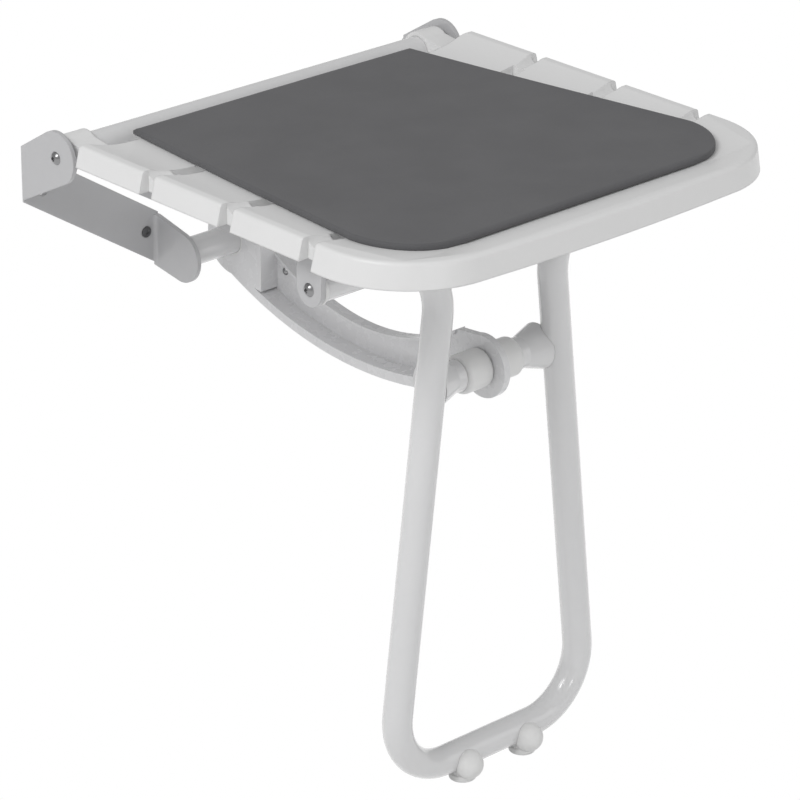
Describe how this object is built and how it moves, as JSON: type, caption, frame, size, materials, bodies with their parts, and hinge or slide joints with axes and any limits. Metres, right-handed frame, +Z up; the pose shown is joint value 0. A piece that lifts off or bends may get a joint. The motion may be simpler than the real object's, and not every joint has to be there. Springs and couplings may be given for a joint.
{
  "type": "fold down wall seat",
  "caption": "Fold down wall seat with a slotted moulded seat, thin grey pad, folded wall brackets, tube support leg and curved stay.",
  "frame": {"origin": "middle of the upper pair of wall holes, on the wall face", "axes": "+X along the wall, to the right as seen from the front; +Y into the wall; +Z up"},
  "size_m": [0.412, 0.475, 0.4992],
  "materials": {
    "white_plastic": "satin moulded",
    "pad_foam": "fine matt foam",
    "white_metal": "white powder coat",
    "grey_metal": "pale grey powder coat",
    "bright_steel": "polished rivet heads",
    "dark_steel": "dark screws",
    "white_rubber": "matt rubber"
  },
  "bodies": {
    "wall_frame": {"wall_bracket_left": "grey_metal", "wall_bracket_right": "grey_metal", "stay_axle": "grey_metal", "seat_pivot_pins": "bright_steel", "wall_screws": "dark_steel"},
    "seat": {"seat_rear_tube": "grey_metal", "rear_tube_bushes": "white_plastic", "side_plate_left": "grey_metal", "side_plate_right": "grey_metal", "seat_cross_bar": "grey_metal", "shell_screws": "bright_steel", "leg_pivot_pins": "bright_steel", "seat_shell": "white_plastic", "seat_pad": "pad_foam"},
    "leg": {"leg_tube": "white_metal", "leg_bushes": "white_plastic", "leg_boss_left": "white_metal", "leg_boss_right": "white_metal", "cross_pin": "bright_steel", "cross_rollers": "white_plastic", "foot_left": "white_rubber", "foot_right": "white_rubber"},
    "stay": {"stay_left": "grey_metal", "stay_right": "grey_metal", "stay_rivets": "bright_steel", "stay_liner": "white_plastic"}
  },
  "joints": [
    {"name": "seat_fold", "type": "hinge", "parent": "wall_frame", "child": "seat", "pos_m": [0, -0.045, 0.0423], "axis": [-1, 0, 0], "range_deg": [0, 88]},
    {"name": "leg_swing", "type": "hinge", "parent": "seat", "child": "leg", "pos_m": [0, -0.314, 0.0143], "axis": [-1, 0, 0], "range_deg": [-88, 0]},
    {"name": "stay_swing", "type": "hinge", "parent": "wall_frame", "child": "stay", "pos_m": [0, -0.034, -0.0732], "axis": [-1, 0, 0], "range_deg": [0, 88]}
  ],
  "couplings": [
    {"joint": "leg_swing", "follows": "seat_fold", "ratio": -1},
    {"joint": "stay_swing", "follows": "seat_fold", "ratio": 1}
  ]
}
